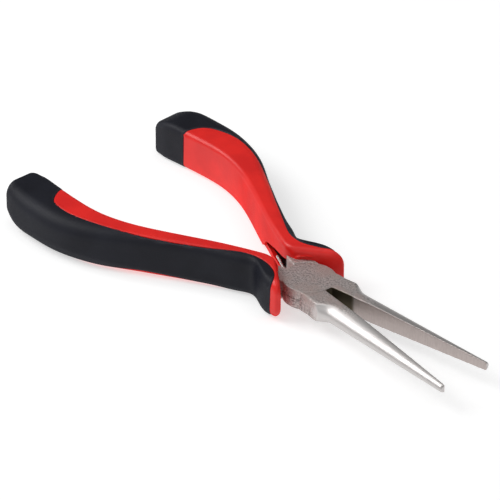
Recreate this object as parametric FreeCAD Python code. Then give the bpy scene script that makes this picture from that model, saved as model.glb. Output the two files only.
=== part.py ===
"""Small pliers with long, smooth, half-round jaws, a riveted lap joint, a return spring and two-part grips.

Everything is drawn around the pivot: its axis is Z through the origin, the jaws point along +X and the
joint's mid-plane is z = 0. The finished parts are then moved by PLACE, so that the tool lies on z = 0 with
its box centred on the Z axis. The tool is part-open, each half turned by HALF_OPEN from the centre line.
"Half" means one forging: the right handle carries the left jaw. The two forgings and the two grips are
the same parts, one set turned over about the centre line, except that the left core has a notch.
"""
import FreeCAD
import Part
import math
import os

V = FreeCAD.Vector

# ---------------------------------------------------------------- driving dimensions, mm and degrees
HALF_OPEN = 7.0          # angle between a jaw's gripping face and the centre line
JAW_END = 49.4           # pivot axis to jaw tip, along the face
FACE_OFFSET = 0.20       # how far a gripping face passes from the pivot axis, so that the tips meet first
THICK = 4.8              # thickness of the joint and of the tangs
PLATE_GAP = 0.03         # half of the running gap between the two lapped plates

TIP_DEPTH = 1.13         # jaw section at the tip: face to back
TIP_HEIGHT = 1.03        # and half its height
DEPTH_TAPER = 0.085      # growth of the depth per mm towards the joint
HEIGHT_TAPER = 0.044     # growth of the half height per mm towards the joint
ROUND_START = 13.0       # the ground cone ends here and runs out to the full plate
RUN_OUT = 0.11           # how fast it runs out, per mm squared
TIP_ROUND = 0.35         # length of the rounded jaw tip

JOINT_R = 6.1            # radius of each lap plate
JOINT_CLEAR = 0.10       # gap around a lap plate
RIVET_R = 2.2            # rivet shank radius
RIVET_HEAD_R = 3.0       # rivet head radius, flush with the plate
RIVET_HEAD_T = 0.8       # depth of the rivet's conical head
RIVET_CLEAR = 0.05       # running clearance in the half that turns

WIRE_R = 0.33            # spring wire radius
COIL_R = 3.9             # spring coil radius
POCKET_IN = 3.35         # spring pocket, inner and outer radius
POCKET_OUT = 4.45
POCKET_DEPTH = 0.75      # depth of the pocket in each plate
LEG_Z = 0.37             # height of a spring leg above or below the mid-plane
LEG_END = 11.2           # reach of the spring legs behind the pivot
LEG_ANGLE = 6.6          # angle of each leg from the centre line
COIL_STEPS = 24          # points that guide the coil
SPRING_SECTIONS = 52     # sections along the whole spring

REST_Z = 5.0             # the grips are flat at this height above and below the mid-plane
GRIP_OVER = 0.06         # the lofted grip is this much higher before its top and bottom are cut flat
PLACE = (11.7, 0.0, REST_Z)   # where the pivot ends up in the finished frame

# Grip sections for the left handle: inner point, outer point, half height, inner and outer corner radius.
# In front, two more numbers give the height above the mid-plane and the outer radius at the top.
GRIP_SECTIONS = [
    ((-72.4, 19.7), (-72.4, 24.8), 4.1, 1.2, 1.8, 1.3, 1.8),
    ((-71.9, 18.6), (-72.0, 26.0), 4.8, 1.4, 2.4, 2.4, 2.4),
    ((-70.6, 17.7), (-70.9, 27.2), 5.0, 1.4, 2.8, 3.6, 2.9),
    ((-68.4, 17.5), (-68.7, 28.0), 5.0, 1.4, 3.1, 4.5, 3.2),
    ((-65.2, 17.7), (-65.5, 28.6), 5.0, 1.4, 3.3),
    ((-61.5, 18.0), (-61.8, 28.9), 5.0, 1.4, 3.5),
    ((-55.0, 18.4), (-55.0, 28.8), 5.0, 1.3, 3.5),
    ((-49.0, 18.2), (-47.8, 27.2), 5.0, 1.3, 3.4),
    ((-43.0, 16.9), (-41.0, 24.0), 5.0, 1.3, 2.9),
    ((-37.7, 14.9), (-35.2, 20.2), 5.0, 1.3, 2.4),
    ((-33.5, 12.9), (-31.1, 17.7), 5.0, 1.3, 2.2),
    ((-29.2, 10.7), (-26.9, 15.2), 5.0, 1.3, 2.1),
    ((-25.0, 8.6), (-22.8, 12.9), 5.0, 1.2, 2.0),
    ((-20.7, 6.5), (-18.6, 10.7), 5.0, 1.2, 2.0),
    ((-16.4, 4.6), (-14.0, 8.6), 5.0, 1.2, 2.0),
    ((-13.2, 3.3), (-10.4, 7.4), 5.0, 1.2, 2.0),
    ((-11.2, 2.6), (-6.6, 9.0), 5.0, 1.2, 2.3),
    ((-9.6, 2.45), (-3.2, 10.3), 5.0, 1.3, 2.5, 5.0, 2.9),
    ((-7.9, 2.6), (-0.8, 10.4), 5.0, 1.4, 3.0, 4.9, 3.9),
    ((-6.9, 3.1), (0.5, 10.1), 4.9, 1.3, 3.3, 4.4, 3.9),
    ((-6.3, 3.9), (1.0, 9.4), 4.6, 1.0, 3.4, 3.5, 3.3),
]

# Edge between the hard red core and the soft black pad, for the left handle, at the grip's top and bottom.
PAD_EDGE_TOP = [(-61.9, 14.0), (-61.6, 19.0), (-60.4, 22.6), (-56.0, 24.9), (-50.5, 25.6), (-45.5, 24.7),
                (-40.5, 22.7), (-33.0, 18.6), (-25.5, 13.7), (-18.6, 9.5), (-13.8, 6.7), (-9.2, 5.9),
                (-5.6, 7.1), (-3.1, 8.3), (-1.8, 9.6), (-1.4, 13.0)]
PAD_EDGE_BOTTOM = [(-62.4, 14.0), (-61.75, 18.9), (-60.3, 21.9), (-58.9, 23.3), (-57.0, 23.9), (-54.2, 24.1),
                   (-49.4, 23.4), (-44.4, 22.0), (-40.2, 20.6), (-33.0, 17.4), (-25.5, 13.3), (-18.6, 9.0),
                   (-13.8, 6.0), (-8.8, 5.3), (-4.6, 6.4), (-2.4, 7.9), (-1.4, 9.8), (-1.2, 13.0)]
PAD_OUTSIDE = [(-2.0, 36.0), (-84.0, 36.0), (-84.0, 14.0)]

# Notch in the left core's inner side, under the spring's leg: outline seen from the side (x, z).
NOTCH = [(-25.5, -5.2), (-21.8, -1.3), (-19.5, -0.6), (-16.0, 0.4), (-11.4, 1.1), (-8.8, 1.5), (-8.8, -5.2)]

# Steel tang for the left handle: inner edge going back, then outer edge coming forward.
TANG_INNER = [(-3.0, 0.65), (-6.2, 1.15), (-8.6, 1.75), (-11.5, 3.3), (-16.4, 5.8), (-25.0, 9.8),
              (-33.5, 14.1), (-43.0, 18.6), (-50.0, 20.8), (-58.0, 21.6)]
TANG_OUTER = [(-58.0, 24.2), (-49.5, 23.5), (-41.5, 20.9), (-31.8, 15.9), (-23.2, 11.6), (-15.0, 7.7),
              (-10.0, 5.9), (-6.0, 5.6), (-2.8, 5.42), (0.0, 3.5)]


# ---------------------------------------------------------------- helpers
def polygon(points, z):
    pts = [V(x, y, z) for x, y in points]
    return Part.makePolygon(pts + [pts[0]])


def prism(wire, height):
    return Part.Face(wire).extrude(V(0, 0, height))


def cylinder(radius, z0, z1):
    return Part.makeCylinder(radius, z1 - z0, V(0, 0, z0))


def ring(r_in, r_out, z0, z1):
    return cylinder(r_out, z0, z1).cut(cylinder(r_in, z0, z1))


def spline(points, z=0.0):
    curve = Part.BSplineCurve()
    curve.interpolate([V(x, y, z) for x, y in points])
    return curve.toShape()


def turned_over(shape):
    """The same part turned by 180 degrees about the X axis."""
    copy = shape.copy()
    copy.rotate(V(0, 0, 0), V(1, 0, 0), 180)
    return copy


def one_solid(shape):
    shape = shape.removeSplitter()
    solids = sorted(shape.Solids, key=lambda s: s.Volume)
    return solids[-1]


# ---------------------------------------------------------------- forging (left jaw, right tang, top plate)
def jaw_axes():
    a = math.radians(HALF_OPEN)
    along = V(math.cos(a), math.sin(a), 0)
    outward = V(-math.sin(a), math.cos(a), 0)
    return along, outward


def jaw_section(s, depth, half_height):
    """Half ellipse with its flat side on the gripping face, at distance s from the pivot."""
    along, outward = jaw_axes()
    centre = outward * FACE_OFFSET + along * s
    ellipse = Part.Ellipse(centre + outward * depth, centre + V(0, 0, half_height), centre)
    arc = Part.ArcOfEllipse(ellipse, -math.pi / 2, math.pi / 2).toShape()
    ends = [v.Point for v in arc.Vertexes]
    return Part.Wire([arc, Part.makeLine(ends[1], ends[0])])


def jaw_size(s):
    back = JAW_END - TIP_ROUND - s
    depth = TIP_DEPTH + DEPTH_TAPER * back
    height = TIP_HEIGHT + HEIGHT_TAPER * back
    flare = RUN_OUT * max(0.0, ROUND_START - s) ** 2
    return depth + flare, height + 0.95 * flare


def jaw():
    tip = JAW_END - TIP_ROUND
    depth, height = jaw_size(tip)
    wide_end = jaw_section(ROUND_START, *jaw_size(ROUND_START))
    cone = Part.makeLoft([wide_end, jaw_section(tip, depth, height)], True)
    nose = Part.makeLoft([jaw_section(tip, depth, height),
                          jaw_section(tip + 0.6 * TIP_ROUND, 0.90 * depth, 0.90 * height),
                          jaw_section(JAW_END, 0.66 * depth, 0.66 * height)], True, True)
    stations = [ROUND_START - 1.0 * i for i in range(8)]
    root = Part.makeLoft([jaw_section(s, *jaw_size(s)) for s in stations], True)
    along, outward = jaw_axes()

    def on_face(s, out=0.0):
        p = outward * (FACE_OFFSET + out) + along * s
        return (p.x, p.y)

    hub_plan = [on_face(0.5), on_face(7.0), on_face(7.0, 9.0), on_face(0.5, 9.0)]
    hub = prism(polygon(hub_plan, -THICK), 2 * THICK)
    body = cone.fuse([nose, root, hub])
    outline = [on_face(0.5), on_face(JAW_END + 1), on_face(JAW_END + 1, 8), (12.0, 8.0), (8.9, 6.35), (7.6, 6.2),
               (5.0, 5.75), (2.6, 5.52), (0.0, 3.0)]
    slab = prism(polygon(outline, -THICK / 2), THICK)
    return body.common(slab)


def tang():
    """Tang of the left handle, full thickness."""
    inner = spline(TANG_INNER)
    outer = spline(TANG_OUTER)
    end = Part.makeLine(V(*TANG_INNER[-1], 0), V(*TANG_OUTER[0], 0))
    root = Part.makeLine(V(*TANG_OUTER[-1], 0), V(*TANG_INNER[0], 0))
    wire = Part.Wire([inner, end, outer, root])
    solid = Part.Face(wire).extrude(V(0, 0, THICK))
    solid.translate(V(0, 0, -THICK / 2))
    return solid


def forging():
    """Half with the left jaw, the top lap plate and the right tang."""
    low = cylinder(JOINT_R + JOINT_CLEAR, -THICK, PLATE_GAP)
    arms = jaw().fuse(turned_over(tang())).cut(low)
    plate = cylinder(JOINT_R, PLATE_GAP, THICK / 2)
    solid = plate.fuse(arms)
    pocket = ring(POCKET_IN, POCKET_OUT, -1.0, PLATE_GAP + POCKET_DEPTH)
    a = math.radians(180 + LEG_ANGLE)
    slot = Part.makeBox(5.0, 1.1, PLATE_GAP + POCKET_DEPTH + 1.0, V(3.6, -0.55, -1.0))
    slot.rotate(V(0, 0, 0), V(0, 0, 1), math.degrees(a))
    return one_solid(solid.cut(pocket).cut(slot.common(cylinder(JOINT_R + 0.01, -2, 2))))


# ---------------------------------------------------------------- rivet and spring
def rivet(extra=0.0):
    z = THICK / 2
    shank = cylinder(RIVET_R + extra, -z, z)
    head = Part.makeCone(RIVET_R + extra, RIVET_HEAD_R + extra, RIVET_HEAD_T, V(0, 0, z - RIVET_HEAD_T))
    return shank.fuse([head, turned_over(head)]).removeSplitter()


def wire_section(point, direction):
    """Round section of the spring wire, square to the direction, as two half circles."""
    side = direction.cross(V(0, 0, 1)).normalize()
    up = side.cross(direction)

    def at(turn):
        return point + side * (WIRE_R * math.cos(turn)) + up * (WIRE_R * math.sin(turn))

    halves = [Part.Arc(at(a), at(a + math.pi / 2), at(a + math.pi)).toShape() for a in (0, math.pi)]
    return Part.Wire(halves)


def return_spring():
    """Nearly one turn of wire around the rivet, with two legs that lie along the inner edges of the tangs."""
    leg = math.radians(LEG_ANGLE)
    bend = math.radians(17)
    start = math.pi + leg + bend
    stop = start + 2 * math.pi - 2 * (leg + bend)
    reach = (LEG_END, 8.0, 5.6, 4.8)
    points = [V(-r * math.cos(leg), -r * math.sin(leg), LEG_Z) for r in reach]
    for i in range(COIL_STEPS + 1):
        t = i / COIL_STEPS
        a = start + (stop - start) * t
        points.append(V(COIL_R * math.cos(a), COIL_R * math.sin(a), LEG_Z * (1 - 2 * t)))
    points += [V(-r * math.cos(leg), r * math.sin(leg), -LEG_Z) for r in reversed(reach)]
    curve = Part.BSplineCurve()
    curve.interpolate(points)
    stations = curve.discretize(SPRING_SECTIONS)
    sections = [wire_section(p, curve.tangent(curve.parameter(p))[0]) for p in stations]
    return Part.makeLoft(sections, True, True)


# ---------------------------------------------------------------- grips
def grip_section(inner, outer, half_h, r_in, r_out, top_h, r_out_top):
    """Box with rounded corners in the upright plane through the inner and outer points."""
    a, b = V(*inner, 0), V(*outer, 0)
    width = (b - a).Length
    across = (b - a) / width

    def at(u, z):
        return a + across * u + V(0, 0, z)

    corners = [(r_in, r_in, top_h - r_in, -90, 0), (width - r_out_top, r_out_top, top_h - r_out_top, 0, 90),
               (width - r_out, r_out, r_out - half_h, 90, 180), (r_in, r_in, r_in - half_h, 180, 270)]
    arcs = []
    for u, r, z, start, stop in corners:
        turns = [math.radians(start + k * (stop - start) / 2) for k in range(3)]
        pts = [at(u + r * math.sin(t), z + r * math.cos(t)) for t in turns]
        arcs.append(Part.Arc(*pts).toShape())
    edges = []
    for k, arc in enumerate(arcs):
        following = arcs[(k + 1) % 4]
        edges += [arc, Part.makeLine(arc.Vertexes[-1].Point, following.Vertexes[0].Point)]
    return Part.Wire(edges)


def grip_body():
    sections = []
    for inner, outer, half_h, r_in, r_out, *top in GRIP_SECTIONS:
        top_h, r_out_top = top or (half_h, r_out)
        over, over_top = (GRIP_OVER if h >= REST_Z else 0.0 for h in (half_h, top_h))
        sections.append(grip_section(inner, outer, half_h + over, r_in, r_out, top_h + over_top, r_out_top))
    body = Part.makeLoft(sections, True, True)
    slab = Part.makeBox(100.0, 100.0, 2 * REST_Z, V(-90.0, -10.0, -REST_Z))
    return body.common(slab)


def leg_notch():
    """Space on the inner side of the left tang that the notch takes out of the grip."""
    outline = Part.makePolygon([V(x, 0, z) for x, z in NOTCH + NOTCH[:1]])
    side_view = Part.Face(outline).extrude(V(0, 14, 0))
    inner = [p for p in TANG_INNER if -34.0 < p[0] < -8.0]
    edge = [(inner[0][0], 0.0)] + [(x, y + 0.4) for x, y in inner] + [(inner[-1][0], 0.0)]
    plan = prism(polygon(edge, -6.0), 12.0)
    return side_view.common(plan)


def pad_region():
    """Space outside the pad's edge, between a bottom and a top outline."""
    wires = []
    for edge, z in ((PAD_EDGE_BOTTOM, -REST_Z - 1), (PAD_EDGE_TOP, REST_Z + 1)):
        corners = [V(*edge[-1], z)] + [V(x, y, z) for x, y in PAD_OUTSIDE] + [V(*edge[0], z)]
        sides = [Part.makeLine(corners[i], corners[i + 1]) for i in range(len(corners) - 1)]
        wires.append(Part.Wire([spline(edge, z)] + sides))
    return Part.makeLoft(wires, True, True)


def grip_parts():
    """Core and pad of the left handle's grip, each moulded around the tang."""
    body = grip_body().cut(tang())
    region = pad_region()
    core = one_solid(body.cut(region))
    pad = one_solid(body.common(region))
    return core, pad


# ---------------------------------------------------------------- build and export
def build():
    raw = forging()
    right = raw.cut(rivet())
    left = turned_over(raw).cut(rivet(RIVET_CLEAR))
    core, pad = grip_parts()
    left_core = one_solid(core.cut(leg_notch()))
    return {
        "right_handle_half": one_solid(right),
        "left_handle_half": one_solid(left),
        "pivot_rivet": one_solid(rivet()),
        "return_spring": return_spring(),
        "left_grip_core": left_core,
        "left_grip_pad": pad,
        "right_grip_core": turned_over(core),
        "right_grip_pad": turned_over(pad),
    }


os.makedirs("parts", exist_ok=True)
for name, shape in build().items():
    box = shape.optimalBoundingBox()
    print(name, "valid", shape.isValid(), "volume %.1f" % shape.Volume,
          "box %.2f %.2f %.2f to %.2f %.2f %.2f" % (box.XMin, box.YMin, box.ZMin, box.XMax, box.YMax, box.ZMax))
    shape.translate(V(*PLACE))
    shape.exportStep("parts/" + name + ".step")
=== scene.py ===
import math

import bmesh
import bpy
import numpy as np
from mathutils import Matrix, Vector


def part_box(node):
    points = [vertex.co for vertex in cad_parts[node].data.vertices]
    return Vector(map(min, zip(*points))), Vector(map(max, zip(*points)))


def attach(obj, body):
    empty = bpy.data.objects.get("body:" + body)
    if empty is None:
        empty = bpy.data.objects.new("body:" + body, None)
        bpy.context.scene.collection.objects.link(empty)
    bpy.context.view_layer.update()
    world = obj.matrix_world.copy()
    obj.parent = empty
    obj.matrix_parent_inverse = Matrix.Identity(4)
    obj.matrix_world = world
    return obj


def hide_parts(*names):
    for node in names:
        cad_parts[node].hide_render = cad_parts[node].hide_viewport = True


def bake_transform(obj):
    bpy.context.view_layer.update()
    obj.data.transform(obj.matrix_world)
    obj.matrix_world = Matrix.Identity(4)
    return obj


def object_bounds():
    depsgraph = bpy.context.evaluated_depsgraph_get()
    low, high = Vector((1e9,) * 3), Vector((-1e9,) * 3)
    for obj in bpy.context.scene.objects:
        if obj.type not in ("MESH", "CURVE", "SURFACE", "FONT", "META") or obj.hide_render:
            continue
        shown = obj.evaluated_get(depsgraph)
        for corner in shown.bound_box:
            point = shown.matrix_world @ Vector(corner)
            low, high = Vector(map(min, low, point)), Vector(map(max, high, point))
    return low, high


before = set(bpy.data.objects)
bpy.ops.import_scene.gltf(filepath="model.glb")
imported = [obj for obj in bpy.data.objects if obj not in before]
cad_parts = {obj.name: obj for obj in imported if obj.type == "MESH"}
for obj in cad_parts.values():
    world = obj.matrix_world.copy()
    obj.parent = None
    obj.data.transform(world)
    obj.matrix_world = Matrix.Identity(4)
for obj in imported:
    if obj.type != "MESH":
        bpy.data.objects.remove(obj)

# Small half-round long-nose pliers: forgings, spring and two-part grips as fine surfaces over the CAD frame.
# Shapes are drawn in mm around the pivot: the jaws point along +X, left is +Y and the joint's mid-plane is
# z = 0. The right grips are the left grips turned over about the centre line.

CAD_BOUNDS = [list(corner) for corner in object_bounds()]
LOWEST, HIGHEST = CAD_BOUNDS[0][2], CAD_BOUNDS[1][2]

# ------------------------------------------------------------------ dimensions, in mm around the pivot
MM = 0.001
rivet_low, rivet_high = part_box("pivot_rivet")
PIVOT = (rivet_low + rivet_high) / 2          # metres, on the mid-plane of the joint

HALF_OPEN = math.radians(7.0)                 # each jaw's gripping face from the centre line
HALF_HEIGHT = 5.0                             # the grips are flat this far above and below the mid-plane
ROLL_TOP, ROLL_BOTTOM = 1.7, 0.9              # rounding where the front face meets the top and the bottom
SEAM_DEPTH = 0.30                             # groove between red core and black pad
CORE_RECESS = 0.08                            # the red core lies this far under the pads
SHELL = 0.9                                   # wall of the moulded grip pieces
SHELL_FRONT = 0.12                            # share of that wall left inside the rounded front of the guard
SHELL_THINS = (-10.5, -8.8)                   # x over which the wall thins to that share

VOXEL = 0.13                                  # grid on which the forgings are made anew
SOFTEN_STEPS = 4                              # smoothing passes over the whole forging
SHOULDER_STEPS = 70                           # more of them where the jaw leaves the joint

WIRE_R, COIL_R = 0.33, 3.9                    # spring wire and coil radius
LEG_Z = 0.37                                  # height of each spring leg off the mid-plane
LEG_ANGLE = math.radians(6.6)                 # each spring leg from the centre line
LEG_TO_COIL = math.radians(17)                # turn in which a leg runs into the coil
COIL_STEPS = 36                               # steps that guide the coil
WIRE_RINGS, WIRE_SIDES = 280, 16              # rings along the wire and points in each
WIRE_END = 3                                  # rings over which each end is rounded
# One spring leg from its end to the coil: x, distance from the centre line.
LEG = [(-14.6, 3.75), (-12.4, 2.75), (-10.2, 1.6), (-8.0, 0.93), (-5.6, 0.65), (-4.8, 0.56)]

# Grip sections of the left handle: inner x, y; outer x, y; half height; inner and outer corner radius;
# height above the mid-plane and outer corner radius at the top.
GRIP_ROWS = [
    (-72.4, 19.7, -72.4, 24.8, 4.1, 1.2, 1.8, 1.3, 1.8), (-71.9, 18.6, -72.0, 26.0, 4.8, 1.4, 2.4, 2.4, 2.4),
    (-70.6, 17.7, -70.9, 27.2, 5.0, 1.4, 2.8, 3.6, 2.9), (-68.4, 17.5, -68.7, 28.0, 5.0, 1.4, 3.1, 4.5, 3.2),
    (-65.2, 17.7, -65.5, 28.6, 5.0, 1.4, 3.3, 5.0, 3.3), (-61.5, 18.0, -61.8, 28.9, 5.0, 1.4, 3.5, 5.0, 3.5),
    (-55.0, 18.4, -55.0, 28.8, 5.0, 1.3, 3.5, 5.0, 3.5), (-49.0, 18.2, -47.8, 27.2, 5.0, 1.3, 3.4, 5.0, 3.4),
    (-43.0, 16.9, -41.0, 24.0, 5.0, 1.3, 2.9, 5.0, 2.9), (-37.7, 14.9, -35.2, 20.2, 5.0, 1.3, 2.4, 5.0, 2.4),
    (-33.5, 12.9, -31.1, 17.7, 5.0, 1.3, 2.2, 5.0, 2.2), (-29.2, 10.7, -26.9, 15.2, 5.0, 1.3, 2.1, 5.0, 2.1),
    (-25.0, 8.6, -22.8, 12.9, 5.0, 1.2, 2.0, 5.0, 2.0), (-20.7, 6.5, -18.6, 10.7, 5.0, 1.2, 2.0, 5.0, 2.0),
    (-16.4, 4.6, -14.0, 8.6, 5.0, 1.2, 2.0, 5.0, 2.0), (-13.2, 3.3, -10.4, 7.4, 5.0, 1.2, 2.0, 5.0, 2.0),
    (-11.2, 2.6, -6.6, 9.0, 5.0, 1.2, 2.3, 5.0, 2.3), (-9.6, 2.45, -3.2, 10.3, 5.0, 1.3, 2.5, 5.0, 2.8),
    (-7.9, 2.6, -0.8, 10.4, 5.0, 1.3, 2.8, 5.0, 3.2), (-6.9, 3.1, 0.5, 10.1, 5.0, 1.2, 3.0, 5.0, 3.4),
    (-6.3, 3.9, 1.0, 9.4, 5.0, 1.0, 3.0, 5.0, 3.4),
]
# Edge between core and pad in plan, at the top and at the bottom of the left grip.
SEAM_TOP = [(-61.9, 14.0), (-61.6, 19.0), (-60.4, 22.6), (-56.0, 24.9), (-50.5, 25.6), (-45.5, 24.7),
            (-40.5, 22.7), (-33.0, 18.6), (-25.5, 13.7), (-18.6, 9.5), (-13.8, 6.7), (-9.2, 5.9),
            (-5.6, 7.1), (-3.3, 8.3), (-2.2, 9.7), (-1.9, 13.0)]
SEAM_BOTTOM = [(-62.4, 14.0), (-61.75, 18.9), (-60.3, 21.9), (-58.9, 23.3), (-57.0, 23.9), (-54.2, 24.1),
               (-49.4, 23.4), (-44.4, 22.0), (-40.2, 20.6), (-33.0, 17.4), (-25.5, 13.3), (-18.6, 9.0),
               (-13.8, 6.0), (-8.8, 5.3), (-4.6, 6.4), (-2.7, 7.9), (-1.6, 9.8), (-1.4, 13.0)]
SEAM_HALF_HEIGHT = 6.0                        # heights at which those two edges are given
SEAM_STEPS = 420                              # points along each of them
# Profile across the seam: distance from it, negative in the core, and rise of the surface there.
SEAM_ACROSS = [-0.40, -0.14, -0.05, 0.0, 0.10, 0.22, 0.42]
SEAM_RISE = [-CORE_RECESS, -CORE_RECESS - 0.01, -CORE_RECESS - 0.06, -SEAM_DEPTH, -0.14, -0.03, 0.0]
# Notch on the inner side of the left core, seen from the side: x and the height it reaches up to.
NOTCH = [(-25.5, -5.2), (-21.8, -1.3), (-19.5, -0.6), (-16.0, 0.4), (-11.4, 1.1), (-8.8, 1.5)]

# Camera: direction, distance in metres, aim point, and how far the view is shifted right and up.
AZIMUTH, ELEVATION = math.radians(47.6), math.radians(32.3)
CAMERA_DISTANCE, LENS_MM, SENSOR_MM = 1.1095, 362.7, 36.0
AIM, SHIFT_RIGHT, SHIFT_UP = (0.0093, 0, 0.005), -0.01145, 0.00707

# Soft lights: name, direction from the tool, distance in metres, size in metres, power in watts.
LIGHTS = [
    ("key_softbox", (-0.62, -0.40, 0.67), 0.75, (0.55, 0.42), 3.5),
    ("front_fill", (0.35, -0.85, 0.55), 0.9, (0.6, 0.5), 0.8),
    ("top_fill", (0.1, 0.1, 1.0), 1.0, (0.9, 0.9), 2.4),
]
LIGHT_TARGET = (0, 0, 0.005)
WORLD_STRENGTH = 0.22
FLOOR_COLOUR, FLOOR_GLOW, FLOOR_HALF = 0.60, 0.55, 4.0    # the pale floor, lit a little from itself


# ------------------------------------------------------------------ curves
def cubic_through(knots, rows, at):
    """Natural cubic spline through rows of values, evaluated at the given parameters."""
    t, y, at = np.array(knots, float), np.array(rows, float), np.array(at, float)
    n = len(t)
    h = np.diff(t)
    system = np.zeros((n, n))
    right = np.zeros((n, y.shape[1]))
    system[0, 0] = system[-1, -1] = 1.0
    for i in range(1, n - 1):
        system[i, i - 1], system[i, i], system[i, i + 1] = h[i - 1], 2 * (h[i - 1] + h[i]), h[i]
        right[i] = 6 * ((y[i + 1] - y[i]) / h[i] - (y[i] - y[i - 1]) / h[i - 1])
    bend = np.linalg.solve(system, right)
    k = np.clip(np.searchsorted(t, at) - 1, 0, n - 2)
    a, b, w = (t[k + 1] - at)[:, None], (at - t[k])[:, None], h[k][:, None]
    return (bend[k] * a ** 3 + bend[k + 1] * b ** 3) / (6 * w) \
        + (y[k] / w - bend[k] * w / 6) * a + (y[k + 1] / w - bend[k + 1] * w / 6) * b


def chord_length(points):
    """Distance along the line through the points, at each point."""
    steps = np.linalg.norm(np.diff(np.array(points, float), axis=0), axis=1)
    return np.concatenate([[0.0], np.cumsum(steps)])


# ------------------------------------------------------------------ grip surface
def outline(width, bottom, top, r_in, r_out, r_out_top):
    """Rounded box in the section plane: distance from the inner side, height. The point count is fixed."""
    points = []

    def line(p, q, n):
        points.extend((p[0] + (q[0] - p[0]) * k / n, p[1] + (q[1] - p[1]) * k / n) for k in range(n))

    def arc(u, z, r, start, n):
        turns = [math.radians(start - 90.0 * k / n) for k in range(n)]
        points.extend((u + r * math.cos(t), z + r * math.sin(t)) for t in turns)

    w = width
    line((0, r_in - bottom), (0, top - r_in), 16)
    arc(r_in, top - r_in, r_in, 180, 8)
    line((r_in, top), (w - r_out_top, top), 20)
    arc(w - r_out_top, top - r_out_top, r_out_top, 90, 11)
    line((w, top - r_out_top), (w, r_out - bottom), 10)
    arc(w - r_out, r_out - bottom, r_out, 0, 11)
    line((w - r_out, -bottom), (r_in, -bottom), 20)
    arc(r_in, r_in - bottom, r_in, -90, 8)
    return np.array(points)


def grip_rings():
    """Rings of points along the left grip, from the end cap to the guard's front face."""
    rows = np.array(GRIP_ROWS)
    centres = (rows[:, 0:2] + rows[:, 2:4]) / 2
    knots = chord_length(centres)
    end = knots[-1]
    cap, guard, front = 6.0, end - 8.0, end - 2.4
    at = np.concatenate([np.linspace(0, cap, 28)[:-1], np.linspace(cap, guard, 130)[:-1],
                         np.linspace(guard, front, 26)[:-1], end - 2.4 * np.linspace(1, 0, 17) ** 1.4])
    rings = []
    for row in cubic_through(knots, rows, at):
        inner, outer = row[0:2], row[2:4]
        width = np.linalg.norm(outer - inner)
        across = (outer - inner) / width
        bottom, top = min(row[4], HALF_HEIGHT), min(row[7], HALF_HEIGHT)
        r_in = min(row[5], 0.45 * width, bottom, top)
        r_out, r_out_top = min(row[6], 0.5 * width, bottom), min(row[8], 0.5 * width, top)
        shape = outline(width, bottom, top, r_in, r_out, r_out_top)
        rings.append(np.column_stack([inner + shape[:, :1] * across, shape[:, 1]]))
    forwards = np.array([across[1], -across[0]])
    for ring in rings:
        depth = np.maximum(0.0, (inner - ring[:, :2]) @ forwards)
        for sign, radius in ((1, ROLL_TOP), (-1, ROLL_BOTTOM)):
            left = np.maximum(0.0, radius - depth)
            height = HALF_HEIGHT - radius + np.sqrt(radius ** 2 - left ** 2)
            ring[:, 2] = np.where(ring[:, 2] * sign > 0, ring[:, 2] * height / HALF_HEIGHT, ring[:, 2])
    return rings


def closing_rings(ring, bulge, steps):
    """Rings that close an open end with a shallow dome; the last one is a single point."""
    centre = ring.mean(axis=0)
    closing = []
    for k in range(1, steps + 1):
        share = 1 - k / steps
        rise = math.sqrt(max(0.0, 1 - share ** 2))
        closing.append(centre + (ring - centre) * share + np.array([bulge * rise, 0, 0]))
    return closing


def seam_distance(points):
    """Signed distance in plan from the seam; positive on the pad's side."""
    edges = []
    for seam in (SEAM_TOP, SEAM_BOTTOM):
        knots = chord_length(seam)
        edges.append(cubic_through(knots, seam, np.linspace(0, knots[-1], SEAM_STEPS)))
    top, bottom = edges
    result = np.empty(len(points))
    for i, (x, y, z) in enumerate(points):
        share = (z + SEAM_HALF_HEIGHT) / (2 * SEAM_HALF_HEIGHT)
        line = bottom + (top - bottom) * share
        start, step = line[:-1], np.diff(line, axis=0)
        away = np.array([x, y]) - start
        along = np.clip((away * step).sum(1) / (step * step).sum(1), 0, 1)
        gap = away - step * along[:, None]
        distance = np.hypot(gap[:, 0], gap[:, 1])
        k = int(distance.argmin())
        side = step[k, 0] * away[k, 1] - step[k, 1] * away[k, 0]
        result[i] = math.copysign(distance[k], side)
    return result


def cut_along(bm, field, out, level):
    """Adds an edge loop where the field has this value; out holds the surface normals."""
    level = float(np.float32(level))

    def crossing():
        return [e for e in bm.edges if (e.verts[0][field] - level) * (e.verts[1][field] - level) < 0]

    for edge in crossing():
        a, b = edge.verts
        if (a[field] - level) * (b[field] - level) >= 0:
            continue
        t = (level - a[field]) / (b[field] - a[field])
        near, far, share = (a, b, t) if t < 0.5 else (b, a, 1 - t)
        if share < 0.2:
            near.co = near.co + (far.co - near.co) * share
            near[out] = near[out].lerp(far[out], share)
            near[field] = level
    for edge in crossing():
        a, b = edge.verts
        t = (level - a[field]) / (b[field] - a[field])
        place, normal = a.co.lerp(b.co, t), a[out].lerp(b[out], t)
        _, new = bmesh.utils.edge_split(edge, a, t)
        new.co, new[out], new[field] = place, normal, level
    bmesh.ops.connect_verts(bm, verts=[v for v in bm.verts if v[field] == level])


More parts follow.
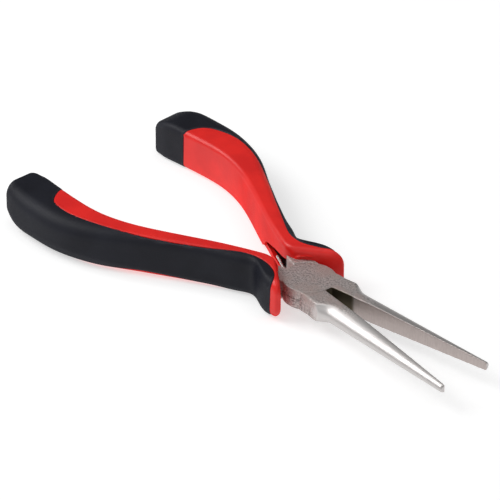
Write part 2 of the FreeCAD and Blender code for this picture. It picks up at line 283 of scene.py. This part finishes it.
def grip_surface():
    """Closed skin of the left grip in mm, with edge loops along the seam and around the notch."""
    rings = grip_rings()
    rear = closing_rings(rings[0], -0.30, 6)
    front = closing_rings(rings[-1], 0.08, 8)
    rings = [r for r in reversed(rear[:-1])] + rings + front[:-1]
    bm = bmesh.new()
    field = bm.verts.layers.float.new("seam")
    out = bm.verts.layers.float_vector.new("outwards")
    count = len(rings[0])
    grid = [[bm.verts.new(p) for p in ring] for ring in rings]
    for one, two in zip(grid[:-1], grid[1:]):
        for k in range(count):
            j = (k + 1) % count
            bm.faces.new((one[k], one[j], two[j], two[k]))
    for ring, tip in ((grid[0], rear[-1][0]), (grid[-1], front[-1][0])):
        point = bm.verts.new(tip)
        for k in range(count):
            bm.faces.new((ring[k], ring[(k + 1) % count], point))
    bmesh.ops.recalc_face_normals(bm, faces=bm.faces)
    bm.normal_update()
    for vert, value in zip(bm.verts, seam_distance([v.co[:] for v in bm.verts])):
        vert[field] = value
        vert[out] = vert.normal
    for level in sorted(SEAM_ACROSS, key=abs):
        cut_along(bm, field, out, level)
    for vert in bm.verts:
        vert.co += vert[out].normalized() * float(np.interp(vert[field], SEAM_ACROSS, SEAM_RISE))
    notch = bm.verts.layers.float.new("notch")
    reach = np.array(NOTCH)
    for vert in bm.verts:
        x, y, z = vert.co
        faces_inwards = vert[out].y < -0.3 and vert[field] < -0.5
        below = float(np.interp(x, reach[:, 0], reach[:, 1])) - z
        room = min(below, reach[-1, 0] - x, x - reach[0, 0] + 0.001)
        vert[notch] = room if faces_inwards else -1.0
    cut_along(bm, notch, out, 0.0)
    return bm, field, notch


def to_mesh(name, points, faces):
    """New object in the scene, from points in metres and faces."""
    mesh = bpy.data.meshes.new(name)
    mesh.from_pydata(points, [], faces)
    mesh.validate()
    mesh.update()
    obj = bpy.data.objects.new(name, mesh)
    bpy.context.scene.collection.objects.link(obj)
    return obj


def evaluated(obj):
    """Mesh of the object with its modifiers applied; the modifiers are then taken off."""
    bpy.context.view_layer.update()
    final = bpy.data.meshes.new_from_object(obj.evaluated_get(bpy.context.evaluated_depsgraph_get()))
    obj.modifiers.clear()
    return final


def placed(point, turned_over):
    """The scene position in metres of a point in mm around the pivot."""
    x, y, z = point
    if turned_over:
        y, z = -y, -z
    return (PIVOT.x + x * MM, PIVOT.y + y * MM, PIVOT.z + z * MM)


def finish_mesh(obj, angle):
    """Smooth shading, with edges sharper than the angle in degrees kept."""
    obj.data.shade_smooth()
    obj.data.set_sharp_from_angle(angle=math.radians(angle))


def grips():
    """Core and pad for both handles, the right pair being the left pair turned over."""
    bm, field, notch = grip_surface()
    bm.verts.ensure_lookup_table()
    bm.verts.index_update()
    made = {}
    for part, sign in (("core", -1), ("pad", 1)):
        for side, turned in (("left", False), ("right", True)):
            faces = [f for f in bm.faces if sign * sum(v[field] for v in f.verts) > 0]
            if (side, part) == ("left", "core"):
                faces = [f for f in faces if sum(v[notch] for v in f.verts) <= 0]
            used = sorted({v.index for f in faces for v in f.verts})
            order = {index: k for k, index in enumerate(used)}
            points = [bm.verts[i].co[:] for i in used]
            loops = [[order[v.index] for v in f.verts] for f in faces]
            obj = to_mesh(f"{side}_grip_{part}_moulded", [placed(p, turned) for p in points], loops)
            wall = obj.modifiers.new("wall", "SOLIDIFY")
            wall.thickness = SHELL * MM
            wall.offset = -1
            group = obj.vertex_groups.new(name="wall")
            for k, point in enumerate(points):
                group.add([k], float(np.interp(point[0], SHELL_THINS, [1.0, SHELL_FRONT])), "REPLACE")
            wall.vertex_group = "wall"
            obj.data = evaluated(obj)
            obj.vertex_groups.clear()
            for vertex in obj.data.vertices:
                vertex.co.z = min(max(vertex.co.z, LOWEST), HIGHEST)
            finish_mesh(obj, 50)
            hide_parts(f"{side}_grip_{part}")
            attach(obj, f"{side}_half")
            made[side + "_" + part] = obj
    bm.free()
    return made


# ------------------------------------------------------------------ forgings
def shoulder_weight(point, side):
    """How far a point belongs to the shoulder where the jaw grows out of the joint, 0 to 1.

    The point is in mm from the scene's origin. side is +1 for the left jaw and -1 for the right jaw.
    """
    x, y = point[0] - PIVOT.x / MM, side * (point[1] - PIVOT.y / MM)
    along = x * math.cos(HALF_OPEN) + y * math.sin(HALF_OPEN)
    out = y * math.cos(HALF_OPEN) - x * math.sin(HALF_OPEN)
    weight = np.interp(along, [4.5, 6.5, 13.0, 18.0], [0, 1, 1, 0]) * np.interp(out, [1.2, 2.4], [0, 1])
    return float(weight * np.interp(math.hypot(x, y), [6.6, 7.8], [0, 1]))


def forged(node, name, body, side):
    """The CAD half with its edges softened as a forging's are, most of all at the jaw's shoulder.

    The work is done in mm, as VOXEL is.
    """
    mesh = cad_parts[node].data.copy()
    mesh.transform(Matrix.Scale(1 / MM, 4))
    bm = bmesh.new()
    bm.from_mesh(mesh)
    bmesh.ops.remove_doubles(bm, verts=bm.verts, dist=0.0005)
    bm.to_mesh(mesh)
    bm.free()
    mesh.materials.clear()
    obj = bpy.data.objects.new(name, mesh)
    bpy.context.scene.collection.objects.link(obj)
    remesh = obj.modifiers.new("voxels", "REMESH")
    remesh.mode = "VOXEL"
    remesh.voxel_size = VOXEL
    obj.data = evaluated(obj)
    group = obj.vertex_groups.new(name="shoulder")
    for vertex in obj.data.vertices:
        weight = shoulder_weight(vertex.co, side)
        if weight > 0:
            group.add([vertex.index], weight, "REPLACE")
    for iterations, limit in ((SOFTEN_STEPS, ""), (SHOULDER_STEPS, "shoulder")):
        smooth = obj.modifiers.new("soften", "SMOOTH")
        smooth.factor = 0.5
        smooth.iterations = iterations
        smooth.vertex_group = limit
    final = evaluated(obj)
    final.transform(Matrix.Scale(MM, 4))
    obj.data = final
    obj.vertex_groups.clear()
    finish_mesh(obj, 60)
    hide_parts(node)
    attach(obj, body)
    return obj


# ------------------------------------------------------------------ spring
def spring():
    """Nearly one turn of wire around the rivet, with two long legs behind it."""
    start = math.pi + LEG_ANGLE + LEG_TO_COIL
    stop = start + 2 * math.pi - 2 * (LEG_ANGLE + LEG_TO_COIL)
    path = [(x, -y, LEG_Z) for x, y in LEG]
    for k in range(COIL_STEPS + 1):
        t = k / COIL_STEPS
        turn = start + (stop - start) * t
        path.append((COIL_R * math.cos(turn), COIL_R * math.sin(turn), LEG_Z * (1 - 2 * t)))
    path += [(x, y, -LEG_Z) for x, y in reversed(LEG)]
    knots = chord_length(path)
    line = cubic_through(knots, path, np.linspace(0, knots[-1], WIRE_RINGS))
    tangents = np.gradient(line, axis=0)
    points, faces = [], []
    for k, (centre, tangent) in enumerate(zip(line, tangents)):
        tangent = tangent / np.linalg.norm(tangent)
        across = np.cross((0, 0, 1.0), tangent)
        across /= np.linalg.norm(across)
        up = np.cross(tangent, across)
        from_end = min(k, WIRE_RINGS - 1 - k)
        radius = WIRE_R * (math.sqrt(1 - (1 - from_end / WIRE_END) ** 2) if from_end < WIRE_END else 1.0)
        for j in range(WIRE_SIDES):
            turn = 2 * math.pi * j / WIRE_SIDES
            place = centre + max(radius, 0.02) * (math.cos(turn) * across + math.sin(turn) * up)
            points.append(placed(place, False))
    for k in range(WIRE_RINGS - 1):
        for j in range(WIRE_SIDES):
            a, b = k * WIRE_SIDES + j, k * WIRE_SIDES + (j + 1) % WIRE_SIDES
            faces.append((a, b, b + WIRE_SIDES, a + WIRE_SIDES))
    last = len(points) - 1
    faces.append(tuple(range(WIRE_SIDES)))
    faces.append(tuple(range(last, last - WIRE_SIDES, -1)))
    obj = to_mesh("return_spring_wire", points, faces)
    bm = bmesh.new()
    bm.from_mesh(obj.data)
    bmesh.ops.recalc_face_normals(bm, faces=bm.faces)
    bm.to_mesh(obj.data)
    bm.free()
    finish_mesh(obj, 50)
    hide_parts("return_spring")
    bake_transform(obj)
    return obj


# ------------------------------------------------------------------ materials
class Nodes:
    """Short calls to make a node tree."""

    def __init__(self, name):
        self.material = bpy.data.materials.new(name)
        self.material.use_nodes = True
        self.tree = self.material.node_tree
        self.tree.nodes.clear()
        self.output = self.tree.nodes.new("ShaderNodeOutputMaterial")
        self.shader = self.tree.nodes.new("ShaderNodeBsdfPrincipled")
        self.link(self.shader.outputs[0], self.output.inputs["Surface"])
        coordinates = self.tree.nodes.new("ShaderNodeTexCoord")
        from_pivot = self.tree.nodes.new("ShaderNodeVectorMath")
        from_pivot.operation = "SUBTRACT"
        self.link(coordinates.outputs["Object"], from_pivot.inputs[0])
        from_pivot.inputs[1].default_value = PIVOT
        in_mm = self.tree.nodes.new("ShaderNodeVectorMath")
        in_mm.operation = "SCALE"
        self.link(from_pivot.outputs[0], in_mm.inputs[0])
        in_mm.inputs["Scale"].default_value = 1 / MM
        self.place = in_mm.outputs[0]         # position in mm from the pivot
        split = self.tree.nodes.new("ShaderNodeSeparateXYZ")
        self.link(self.place, split.inputs[0])
        self.x, self.y, self.z = split.outputs

    def link(self, source, target):
        self.tree.links.new(source, target)

    def put(self, target, value):
        """Gives a socket a plain value, or a link when the value is another node's output."""
        if isinstance(value, bpy.types.NodeSocket):
            self.link(value, target)
        else:
            target.default_value = value

    def math(self, operation, a, b=0.0, c=0.0):
        node = self.tree.nodes.new("ShaderNodeMath")
        node.operation = operation
        for socket, value in zip(node.inputs, (a, b, c)):
            self.put(socket, value)
        return node.outputs[0]

    def ramp(self, value, low, high, to_low=0.0, to_high=1.0):
        """Smooth step from to_low to to_high while the value goes from low to high."""
        node = self.tree.nodes.new("ShaderNodeMapRange")
        node.interpolation_type = "SMOOTHSTEP"
        for key, item in (("Value", value), ("From Min", low), ("From Max", high),
                          ("To Min", to_low), ("To Max", to_high)):
            self.put(node.inputs[key], item)
        return node.outputs[0]

    def stretched(self, x, y, z):
        """The position multiplied along each axis, for a pattern drawn out in one direction."""
        node = self.tree.nodes.new("ShaderNodeVectorMath")
        node.operation = "MULTIPLY"
        self.link(self.place, node.inputs[0])
        node.inputs[1].default_value = (x, y, z)
        return node.outputs[0]

    def noise(self, scale, detail=4.0, roughness=0.55, place=None):
        node = self.tree.nodes.new("ShaderNodeTexNoise")
        self.link(place or self.place, node.inputs["Vector"])
        node.inputs["Scale"].default_value = scale
        node.inputs["Detail"].default_value = detail
        node.inputs["Roughness"].default_value = roughness
        return node.outputs["Fac"]

    def mix(self, share, a, b):
        """Mix of two colours; share 1 gives the second."""
        node = self.tree.nodes.new("ShaderNodeMix")
        node.data_type = "RGBA"
        self.put(node.inputs[0], share)
        self.put(node.inputs[6], a)
        self.put(node.inputs[7], b)
        return node.outputs[2]

    def blend(self, share, a, b):
        """Mix of two plain values; share 1 gives the second."""
        node = self.tree.nodes.new("ShaderNodeMix")
        self.put(node.inputs[0], share)
        self.put(node.inputs[2], a)
        self.put(node.inputs[3], b)
        return node.outputs[0]

    def bump(self, height, distance, strength):
        node = self.tree.nodes.new("ShaderNodeBump")
        node.inputs["Distance"].default_value = distance * MM
        self.put(node.inputs["Strength"], strength)
        self.put(node.inputs["Height"], height)
        return node.outputs[0]

    def edges(self, low, high):
        """Mask of sharp outer edges, which are lightened for wear and painted highlight: 0 on flat surface,
        1 on sharp edges.
        """
        node = self.tree.nodes.new("ShaderNodeNewGeometry")
        return self.ramp(node.outputs["Pointiness"], low, high)

    def facing(self):
        """Absolute parts of the surface normal along x, y and z."""
        node = self.tree.nodes.new("ShaderNodeTexCoord")
        split = self.tree.nodes.new("ShaderNodeSeparateXYZ")
        self.link(node.outputs["Normal"], split.inputs[0])
        return [self.math("ABSOLUTE", s) for s in split.outputs]

    def gloss(self, straight, grazing):
        """Specular level that drops towards grazing angles, as on plastic with a fine grain."""
        node = self.tree.nodes.new("ShaderNodeLayerWeight")
        return self.ramp(node.outputs["Facing"], 0.35, 0.75, straight, grazing)

    def set(self, **values):
        """Gives the shader its inputs, named with _ for a space, and returns the material."""
        for key, value in values.items():
            self.put(self.shader.inputs[key.replace("_", " ")], value)
        return self.material


def steel(name, side=0.0):
    """Forged steel, pitted and matte. With side it also has a jaw, +1 the left one and -1 the right one:
    its outside is ground bright, its gripping face is brushed, its sharp edges are lightened for wear and
    painted glint, its throat at the joint is painted dark as shade and its tang inside the grip is painted
    near black as shade.
    """
    n = Nodes(name)
    grain = n.noise(5.0, 4.0, 0.7)
    pits = n.ramp(n.noise(2.1, 5.0, 0.75), 0.36, 0.60)
    stain = n.noise(0.25, 3.0)
    matte = n.mix(pits, (0.27, 0.245, 0.235, 1), (0.66, 0.615, 0.60, 1))
    matte = n.mix(n.ramp(stain, 0.42, 0.70), matte, (0.54, 0.46, 0.435, 1))
    colour = matte
    rough = n.ramp(grain, 0.3, 0.7, 0.40, 0.62)
    relief = n.math("ADD", n.math("MULTIPLY", pits, 0.9), n.math("MULTIPLY", grain, 0.6))
    strength = 0.9
    metal = 1.0
    if side:
        sx, cx = math.sin(HALF_OPEN) * side, math.cos(HALF_OPEN)
        along = n.math("ADD", n.math("MULTIPLY", n.x, cx), n.math("MULTIPLY", n.y, sx))
        out = n.math("SUBTRACT", n.math("MULTIPLY", n.y, cx * side), n.math("MULTIPLY", n.x, sx * side))
        wobble = n.math("MULTIPLY", n.math("SUBTRACT", n.noise(0.5, 2.0), 0.5), 1.2)
        start = n.math("ADD", n.math("MULTIPLY_ADD", n.math("ABSOLUTE", n.z), -0.55, along), wobble)
        ground = n.ramp(start, 7.2, 9.4)
        ground = n.math("MULTIPLY", ground, n.ramp(out, 0.30, 0.42))
        flat_top = n.math("MULTIPLY", n.ramp(n.facing()[2], 0.90, 0.98), n.ramp(along, 14.0, 22.0, 1.0, 0.0))
        ground = n.math("MULTIPLY", ground, n.math("SUBTRACT", 1.0, flat_top))
        inner = n.math("MULTIPLY", n.ramp(out, 0.24, 0.34, 1.0, 0.0), n.ramp(along, 6.3, 6.8))
        brushed = n.noise(1.0, 4.0, 0.6, n.stretched(0.30, 9.0, 9.0))
        fade = n.ramp(along, 7.0, 13.0)
        bright = n.mix(brushed, (0.54, 0.515, 0.505, 1), (0.66, 0.635, 0.625, 1))
        face = n.mix(n.noise(1.0, 4.0, 0.6, n.stretched(3.0, 3.0, 0.6)),
                     (0.42, 0.365, 0.345, 1), (0.62, 0.55, 0.53, 1))
        # Painted shade: toward the joint the gripping face turns dark brown, where the throat lies in
        # shadow.
        face = n.mix(n.ramp(along, 11.4, 12.9, 1.0, 0.0), face, (0.13, 0.108, 0.072, 1))
        colour = n.mix(ground, colour, bright)
        colour = n.mix(inner, colour, face)
        polished = n.blend(fade, 0.42, n.ramp(brushed, 0.2, 0.8, 0.40, 0.52))
        rough = n.blend(ground, rough, polished)
        rough = n.blend(inner, rough, 0.50)
        smoothed = n.math("MAXIMUM", ground, inner)
        relief = n.blend(smoothed, relief, n.math("MULTIPLY", brushed, 0.4))
        strength = n.blend(smoothed, strength, 0.25)
        # Sharp edges are painted lighter, partly for wear and partly as a painted glint of light along the
        # edges.
        wear_and_painted_glint = n.edges(0.53, 0.60)
        colour = n.mix(n.math("MULTIPLY", wear_and_painted_glint, 0.45), colour, (0.74, 0.70, 0.67, 1))
        # Painted shade: steep walls close to the centre line in the throat are painted dark brown.
        painted_throat_wall_shade = n.ramp(n.math("ABSOLUTE", out), 1.2, 1.6, 1.0, 0.0)
        painted_throat_wall_shade = n.math("MULTIPLY", n.ramp(along, 5.0, 5.6), painted_throat_wall_shade)
        painted_throat_wall_shade = n.math("MULTIPLY", painted_throat_wall_shade, n.ramp(along, 11.4, 12.9, 1.0, 0.0))
        painted_throat_wall_shade = n.math("MULTIPLY", painted_throat_wall_shade, n.ramp(n.facing()[2], 0.3, 0.6, 1.0, 0.0))
        colour = n.mix(painted_throat_wall_shade, colour, (0.10, 0.083, 0.055, 1))
        # Painted shade: inside the grip the tang is painted near black with a red tinge, for shade and the
        # red grip's reflection, and it doesn't shine there.
        metal = n.ramp(n.x, -10.6, -9.4)      # the tang inside the grip is dark and doesn't shine
        colour = n.mix(metal, (0.010, 0.004, 0.004, 1), colour)
    normal = n.bump(relief, 0.07, strength)
    return n.set(Base_Color=colour, Metallic=metal, Roughness=rough, Normal=normal,
                 Specular_IOR_Level=n.math("MULTIPLY", metal, 0.5))


def red_plastic():
    n = Nodes("red_gloss_plastic")
    cloud = n.noise(0.12, 3.0)
    fine = n.noise(5.0, 4.0, 0.6)
    colour = n.mix(n.ramp(cloud, 0.3, 0.7), (0.74, 0.010, 0.008, 1), (0.86, 0.016, 0.011, 1))
    rub = n.ramp(n.noise(1.0, 6.0, 0.7, n.stretched(0.5, 3.0, 3.0)), 0.68, 0.78)
    colour = n.mix(n.math("MULTIPLY", rub, 0.3), colour, (0.78, 0.12, 0.09, 1))
    rough = n.ramp(fine, 0.3, 0.7, 0.32, 0.44)
    return n.set(Base_Color=colour, Roughness=rough, Specular_IOR_Level=n.gloss(0.42, 0.02),
                 Normal=n.bump(fine, 0.02, 0.35))


def black_rubber():
    n = Nodes("black_soft_rubber")
    cloud = n.noise(0.1, 3.0)
    fine = n.noise(4.0, 5.0, 0.65)
    colour = n.mix(n.ramp(cloud, 0.3, 0.7), (0.006, 0.0065, 0.0115, 1), (0.010, 0.011, 0.0175, 1))
    dust = n.ramp(n.noise(1.9, 6.0, 0.75), 0.62, 0.78)
    colour = n.mix(n.math("MULTIPLY", dust, 0.3), colour, (0.07, 0.07, 0.085, 1))
    # Sharp edges and ridges of the pad are painted lighter, partly as rubbed wear and partly as a painted
    # ridge highlight.
    rub = n.math("MULTIPLY", n.edges(0.505, 0.53), 0.30)
    colour = n.mix(rub, colour, (0.06, 0.062, 0.078, 1))
    rough = n.ramp(fine, 0.3, 0.7, 0.46, 0.60)
    return n.set(Base_Color=colour, Roughness=rough, Specular_IOR_Level=n.gloss(0.20, 0.05),
                 Normal=n.bump(fine, 0.03, 0.5))


def wire_steel():
    n = Nodes("spring_wire_steel")
    drawn = n.noise(1.0, 3.0, 0.5, n.stretched(2.0, 9.0, 9.0))
    colour = n.mix(drawn, (0.58, 0.56, 0.53, 1), (0.74, 0.72, 0.69, 1))
    return n.set(Base_Color=colour, Metallic=1.0, Roughness=n.ramp(drawn, 0.3, 0.7, 0.22, 0.35),
                 Normal=n.bump(drawn, 0.01, 0.4))


def give(obj, material):
    """The object's one material."""
    obj.data.materials.clear()
    obj.data.materials.append(material)


# ------------------------------------------------------------------ build
right_half = forged("right_handle_half", "right_handle_half_forged", "right_half", 1)
left_half = forged("left_handle_half", "left_handle_half_forged", "left_half", -1)
give(right_half, steel("forged_steel_left_jaw", 1.0))
give(left_half, steel("forged_steel_right_jaw", -1.0))
give(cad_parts["pivot_rivet"], steel("rivet_steel_matte"))
give(spring(), wire_steel())

red, black = red_plastic(), black_rubber()
for key, obj in grips().items():
    give(obj, red if key.endswith("core") else black)


# ------------------------------------------------------------------ floor, lights and camera
def floor():
    corners = [(FLOOR_HALF * x, FLOOR_HALF * y, 0) for x, y in ((-1, -1), (1, -1), (1, 1), (-1, 1))]
    obj = to_mesh("floor", corners, [(0, 1, 2, 3)])
    material = bpy.data.materials.new("pale_floor")
    material.use_nodes = True
    shader = material.node_tree.nodes["Principled BSDF"]
    shader.inputs["Base Color"].default_value = (FLOOR_COLOUR, FLOOR_COLOUR, FLOOR_COLOUR, 1)
    shader.inputs["Roughness"].default_value = 0.9
    shader.inputs["Specular IOR Level"].default_value = 0.1
    shader.inputs["Emission Color"].default_value = (1, 1, 1, 1)
    shader.inputs["Emission Strength"].default_value = FLOOR_GLOW
    give(obj, material)


def area_light(name, direction, distance, size, power):
    data = bpy.data.lights.new(name, "AREA")
    data.shape = "RECTANGLE"
    data.size, data.size_y = size
    data.energy = power
    obj = bpy.data.objects.new(name, data)
    bpy.context.scene.collection.objects.link(obj)
    towards = Vector(direction).normalized()
    obj.location = Vector(LIGHT_TARGET) + towards * distance
    obj.rotation_euler = towards.to_track_quat("Z", "Y").to_euler()


def camera():
    level = math.cos(ELEVATION)
    back = Vector((math.sin(AZIMUTH) * level, -math.cos(AZIMUTH) * level, math.sin(ELEVATION)))
    right = Vector((math.cos(AZIMUTH), math.sin(AZIMUTH), 0))
    up = back.cross(right)
    data = bpy.data.cameras.new("camera")
    data.sensor_width = SENSOR_MM
    data.lens = LENS_MM
    data.clip_start, data.clip_end = 0.05, 20.0
    obj = bpy.data.objects.new("camera", data)
    bpy.context.scene.collection.objects.link(obj)
    aim = Vector(AIM) + right * SHIFT_RIGHT + up * SHIFT_UP
    axes = Matrix((right, up, back)).transposed().to_4x4()
    obj.matrix_world = Matrix.Translation(aim + back * CAMERA_DISTANCE) @ axes
    bpy.context.scene.camera = obj


floor()
camera()
for light in LIGHTS:
    area_light(*light)

world = bpy.data.worlds.new("studio")
world.use_nodes = True
world.node_tree.nodes["Background"].inputs["Color"].default_value = (1, 1, 1, 1)
world.node_tree.nodes["Background"].inputs["Strength"].default_value = WORLD_STRENGTH
bpy.context.scene.world = world
bpy.context.scene.view_settings.view_transform = "Standard"
